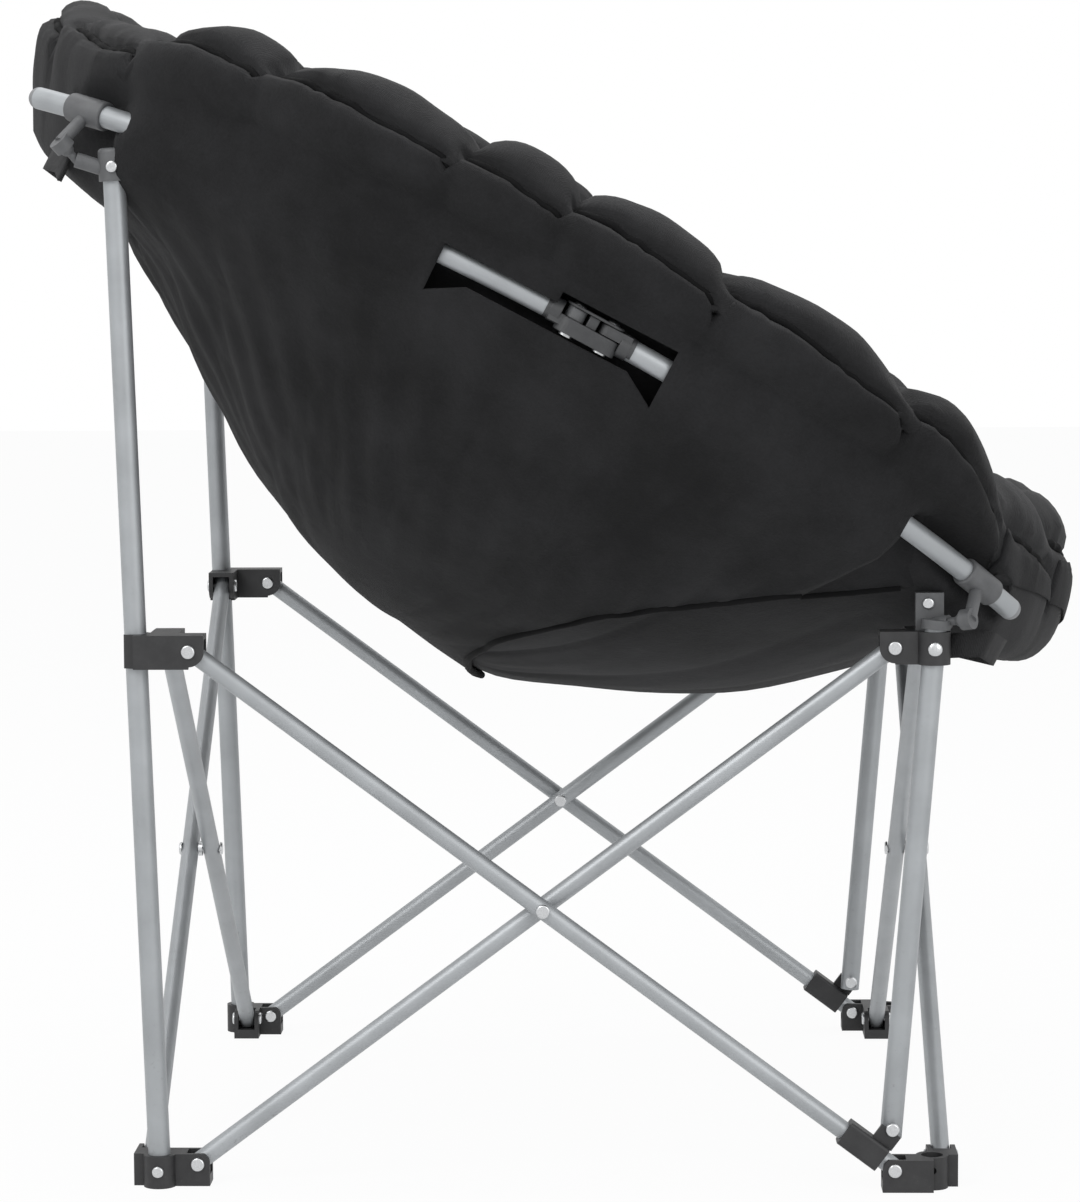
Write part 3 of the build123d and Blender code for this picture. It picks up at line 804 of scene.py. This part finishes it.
# the hem is bound with doubled tape
for side, (_, hem) in zip(("far", "near"), halves):
    soft_pieces.append(corded("cover_hem_" + side, hem, 0.0034, piping, "seat", "fabric_sleeve"))

# ---- Straps -------------------------------------------------------------------
# Black webbing, 25 mm wide and 1.6 mm thick, ties the seat's front edge to each front
# hub and its rear edge to each upright, so that the pad stays on the frame.
STRAP, STRAP_THICK = 0.025, 0.0016


def strap(name, run, across, body):
    """Webbing along a run of places, its width in the given direction."""
    bm = bmesh.new()
    edge = [bm.verts.new(p - across * STRAP / 2) for p in run]
    for a, b in zip(edge, edge[1:]):
        bm.edges.new((a, b))
    wide = bmesh.ops.extrude_edge_only(bm, edges=bm.edges[:])
    moved = [v for v in wide["geom"] if isinstance(v, bmesh.types.BMVert)]
    bmesh.ops.translate(bm, vec=across * STRAP, verts=moved)
    bmesh.ops.subdivide_edges(bm, edges=bm.edges[:], cuts=3, use_grid_fill=True, smooth=0.0)
    bmesh.ops.recalc_face_normals(bm, faces=bm.faces)
    sewn_map(bm)
    piece = made(bm, name, webbing, body, "fabric_sleeve")
    thick = piece.modifiers.new("thick", "SOLIDIFY")
    thick.thickness, thick.offset = STRAP_THICK, 0.0
    return piece


webbing = woven("black_webbing", (0.010, 0.010, 0.0105), (0.026, 0.026, 0.027), 0.0022, 0.05)
for s, side in ((-1, "near"), (1, "far")):
    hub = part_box("front_hub_" + side)
    hub_front = Vector(((hub[0].x + hub[1].x) / 2, hub[0].y + 0.004, hub[1].z - 0.014))
    run = [hub_front, in_ring(s * 324, 462, -33), in_ring(s * 290, 480, -36),
           in_ring(s * 212, 452, -50)]
    soft_pieces.append(strap("front_strap_" + side, run, ABOVE, "seat"))
    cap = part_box("rear_cap_" + side)
    cap_rear = Vector(((cap[0].x + cap[1].x) / 2, cap[1].y - 0.003, cap[0].z + 0.012))
    run = [cap_rear, in_ring(s * 322, -424, -34), in_ring(s * 286, -440, -38),
           in_ring(s * 230, -430, -44)]
    soft_pieces.append(strap("rear_strap_" + side, run, ABOVE, "seat"))

# the cords become smooth meshes on the seat's body, and each soft piece gets its own mesh
for piece in soft_pieces:
    if piece.type == "CURVE":
        bpy.context.view_layer.update()
        graph = bpy.context.evaluated_depsgraph_get()
        solid = bpy.data.meshes.new_from_object(piece.evaluated_get(graph))
        flat = bpy.data.objects.new(piece.name + "_cord", solid)
        bpy.context.scene.collection.objects.link(flat)
        for face in solid.polygons:
            face.use_smooth = True
        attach(flat, "seat")
        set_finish(flat, piece["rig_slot"])
        bpy.data.objects.remove(piece)
        piece = flat
    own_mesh(piece)

# ---- Floor, light and camera --------------------------------------------------
# A white sweep, soft lamps, and the eye level with the seat on the chair's near side.
EYE_PLACE = Vector((-3.578, -0.0849, 0.8011))
EYE_PIXELS = 3831.0                 # lens length, in pixels of the 1080 wide picture
turn, dip, roll = (math.radians(d) for d in (1.61, 5.18, -0.30))
looking = Vector((math.cos(turn) * math.cos(dip), math.sin(turn) * math.cos(dip), -math.sin(dip)))
eye = bpy.data.objects.new("eye", bpy.data.cameras.new("eye"))
bpy.context.scene.collection.objects.link(eye)
eye.location = EYE_PLACE
eye.rotation_euler = (looking.to_track_quat("-Z", "Y") @ Quaternion((0, 0, 1), roll)).to_euler()
eye.data.sensor_fit, eye.data.sensor_width = "HORIZONTAL", 36.0
eye.data.lens = 36.0 * EYE_PIXELS / 1080
eye.data.clip_end = 60.0
bpy.context.scene.camera = eye

white = Finish("white_sweep")
path = [white.add("LightPath", out=k) for k in (0, 3, 6)]
seen = path[0].sum("MAXIMUM", path[1]).sum("MAXIMUM", path[2])
matt = white.add("BsdfDiffuse", None, {"Color": colour(0.86, 0.86, 0.86)})
glow = white.add("Emission", None, {"Color": colour(1, 1, 1), "Strength": 1.0})
both = white.add("MixShader", None, {0: seen * 0.95, 1: matt, 2: glow})
white.add("OutputMaterial", None, {"Surface": both})
bm = bmesh.new()
bmesh.ops.create_grid(bm, x_segments=1, y_segments=1, size=14.0)
mesh = meshed(bm, "floor")
mesh.materials.append(white.material)
floor = bpy.data.objects.new("floor", mesh)
bpy.context.scene.collection.objects.link(floor)

world = bpy.data.worlds.new("studio")
world.use_nodes = True
bpy.context.scene.world = world
sky = world.node_tree
sky.nodes.clear()
rays = sky.nodes.new("ShaderNodeLightPath")
kinds = ("Background", "Background", "MixShader", "OutputWorld")
room, wall, pick, shown = (sky.nodes.new("ShaderNode" + kind) for kind in kinds)
for light, tint, strength in ((room, (0.95, 0.97, 1.0), 0.55), (wall, (1, 1, 1), 1.0)):
    light.inputs["Color"].default_value = colour(*tint)
    light.inputs["Strength"].default_value = strength
previous = rays.outputs["Is Camera Ray"]
for ray in ("Is Glossy Ray", "Is Transmission Ray"):
    either = sky.nodes.new("ShaderNodeMath")
    either.operation = "MAXIMUM"
    sky.links.new(previous, either.inputs[0])
    sky.links.new(rays.outputs[ray], either.inputs[1])
    previous = either.outputs[0]
sky.links.new(previous, pick.inputs[0])
sky.links.new(room.outputs[0], pick.inputs[1])
sky.links.new(wall.outputs[0], pick.inputs[2])
sky.links.new(pick.outputs[0], shown.inputs["Surface"])

LAMPS = (("key", (-2.6, 1.9, 3.0), 2.2, 62.0), ("fill", (-2.9, -2.4, 1.7), 2.4, 34.0),
         ("top", (0.4, 0.0, 3.4), 2.6, 40.0))
for name, place, size, power in LAMPS:
    lamp = bpy.data.objects.new(name, bpy.data.lights.new(name, "AREA"))
    bpy.context.scene.collection.objects.link(lamp)
    lamp.location = place
    lamp.rotation_euler = (Vector((0, 0, 0.6)) - Vector(place)).to_track_quat("-Z", "Y").to_euler()
    lamp.data.shape, lamp.data.size, lamp.data.energy = "DISK", size, power
bpy.context.scene.view_settings.view_transform = "Standard"
